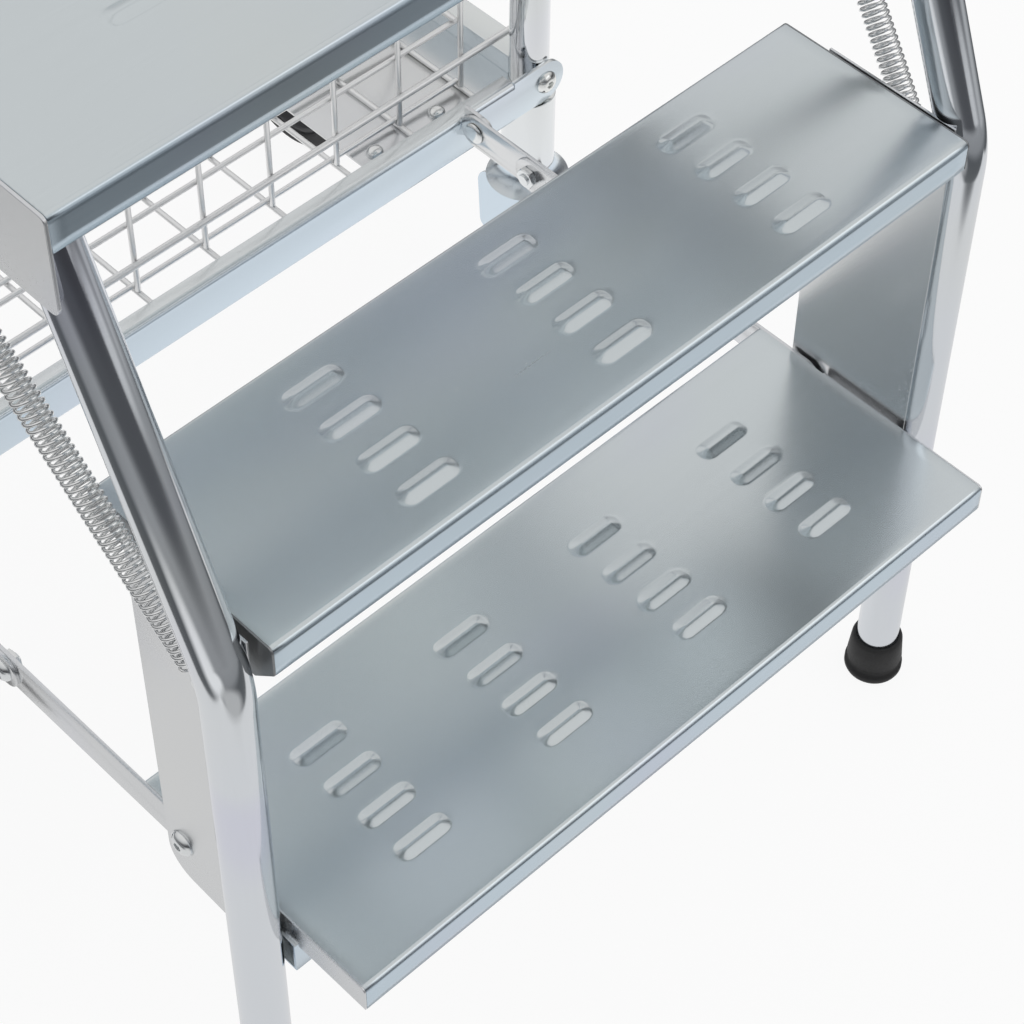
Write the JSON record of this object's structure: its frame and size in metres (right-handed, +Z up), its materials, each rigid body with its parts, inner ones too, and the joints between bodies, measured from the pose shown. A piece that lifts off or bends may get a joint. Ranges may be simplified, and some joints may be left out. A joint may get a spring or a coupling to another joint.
{
  "type": "mobile step ladder",
  "caption": "Folding steel steps and platform with a tall handrail on a swivel-castor trolley with a wire basket; the steps swing up on a parallel linkage with lift springs.",
  "frame": {"origin": "on the floor, at the middle of the footprint", "axes": "+X to the right of someone who faces the steps, +Y from the steps to the trolley behind, +Z up"},
  "size_m": [0.72, 0.7936, 1.4],
  "materials": {
    "zinc_sheet": "satin bright zinc plate on folded sheet, faint blue and violet tint",
    "zinc_tube": "glossy bright zinc plate on round tube",
    "zinc_pressing": "satin bright zinc plate on pressed forks",
    "zinc_fastener": "bright zinc-plated fasteners",
    "zinc_wire": "bright zinc-plated welded wire",
    "spring_steel": "bright plated spring wire",
    "black_rubber": "matt black rubber",
    "wheel_rubber": "matt dark rubber tread",
    "hub_plastic": "moulded dark plastic",
    "cap_plastic": "moulded black plastic"
  },
  "bodies": {
    "trolley": {"handrail_frame": "zinc_tube", "rear_posts": "zinc_tube", "post_caps": "cap_plastic", "platform_pivot_bosses": "zinc_tube", "front_channel": "zinc_sheet", "rear_channel": "zinc_sheet", "frame_bolts": "zinc_fastener", "side_rails": "zinc_sheet", "base_plate_left": "zinc_sheet", "base_plate_right": "zinc_sheet", "base_plate_bolts": "zinc_fastener", "basket_hangers": "zinc_wire", "wire_basket": "zinc_wire", "castor_sockets": "zinc_tube", "stay_lugs": "zinc_sheet", "stay_pivot_bolts": "zinc_fastener"},
    "platform": {"platform_deck": "zinc_sheet", "platform_ribs": "zinc_sheet", "front_hinge_bolts": "zinc_fastener", "platform_pivot_bolts": "zinc_fastener", "spring_pins_upper": "zinc_fastener"},
    "step_frame": {"front_leg_left": "zinc_tube", "front_leg_right": "zinc_tube", "lower_tread": "zinc_sheet", "upper_tread": "zinc_sheet", "lower_end_plate_left": "zinc_sheet", "lower_end_plate_right": "zinc_sheet", "upper_end_plate_left": "zinc_sheet", "upper_end_plate_right": "zinc_sheet", "gusset_left": "zinc_sheet", "gusset_right": "zinc_sheet", "step_rail": "zinc_sheet", "rubber_feet": "black_rubber", "gusset_rivets": "zinc_fastener", "spring_pins_lower": "zinc_fastener", "lift_spring_left": "spring_steel", "lift_spring_right": "spring_steel"},
    "stays": {"stay_front_bar_left": "zinc_sheet", "stay_front_bar_right": "zinc_sheet", "stay_rear_bar_left": "zinc_sheet", "stay_rear_bar_right": "zinc_sheet", "stay_fasteners": "zinc_fastener"},
    "castor_front_left": {"castor_fork_front_left": "zinc_pressing", "castor_axle_front_left": "zinc_fastener"},
    "wheel_front_left": {"wheel_hub_front_left": "hub_plastic", "wheel_tyre_front_left": "wheel_rubber"},
    "castor_front_right": {"castor_fork_front_right": "zinc_pressing", "castor_axle_front_right": "zinc_fastener"},
    "wheel_front_right": {"wheel_hub_front_right": "hub_plastic", "wheel_tyre_front_right": "wheel_rubber"},
    "castor_rear_left": {"castor_fork_rear_left": "zinc_pressing", "castor_axle_rear_left": "zinc_fastener"},
    "wheel_rear_left": {"wheel_hub_rear_left": "hub_plastic", "wheel_tyre_rear_left": "wheel_rubber"},
    "castor_rear_right": {"castor_fork_rear_right": "zinc_pressing", "castor_axle_rear_right": "zinc_fastener"},
    "wheel_rear_right": {"wheel_hub_rear_right": "hub_plastic", "wheel_tyre_rear_right": "wheel_rubber"}
  },
  "joints": [
    {"name": "platform_fold", "type": "hinge", "parent": "trolley", "child": "platform", "pos_m": [0, 0.06225, 0.712], "axis": [-1, 0, 0], "range_deg": [0, 75], "deforming": ["lift_spring_left", "lift_spring_right"]},
    {"name": "step_frame_swing", "type": "hinge", "parent": "platform", "child": "step_frame", "pos_m": [0, -0.23775, 0.712], "axis": [-1, 0, 0], "range_deg": [-75, 0]},
    {"name": "stay_swing", "type": "hinge", "parent": "trolley", "child": "stays", "pos_m": [0, 0.04585, 0.2435], "axis": [-1, 0, 0], "range_deg": [0, 75]},
    {"name": "castor_front_left_swivel", "type": "hinge", "parent": "trolley", "child": "castor_front_left", "pos_m": [-0.33, 0.07625, 0.15], "axis": [0, 0, 1], "continuous": true},
    {"name": "wheel_front_left_spin", "type": "hinge", "parent": "castor_front_left", "child": "wheel_front_left", "pos_m": [-0.33, 0.04425, 0.0625], "axis": [1, 0, 0], "continuous": true},
    {"name": "castor_front_right_swivel", "type": "hinge", "parent": "trolley", "child": "castor_front_right", "pos_m": [0.33, 0.07625, 0.15], "axis": [0, 0, 1], "continuous": true},
    {"name": "wheel_front_right_spin", "type": "hinge", "parent": "castor_front_right", "child": "wheel_front_right", "pos_m": [0.33, 0.04425, 0.0625], "axis": [1, 0, 0], "continuous": true},
    {"name": "castor_rear_left_swivel", "type": "hinge", "parent": "trolley", "child": "castor_rear_left", "pos_m": [-0.33, 0.36625, 0.15], "axis": [0, 0, 1], "continuous": true},
    {"name": "wheel_rear_left_spin", "type": "hinge", "parent": "castor_rear_left", "child": "wheel_rear_left", "pos_m": [-0.33, 0.33425, 0.0625], "axis": [1, 0, 0], "continuous": true},
    {"name": "castor_rear_right_swivel", "type": "hinge", "parent": "trolley", "child": "castor_rear_right", "pos_m": [0.33, 0.36625, 0.15], "axis": [0, 0, 1], "continuous": true},
    {"name": "wheel_rear_right_spin", "type": "hinge", "parent": "castor_rear_right", "child": "wheel_rear_right", "pos_m": [0.33, 0.33425, 0.0625], "axis": [1, 0, 0], "continuous": true}
  ],
  "couplings": [
    {"joint": "step_frame_swing", "follows": "platform_fold", "ratio": -1},
    {"joint": "stay_swing", "follows": "platform_fold", "ratio": 1}
  ]
}
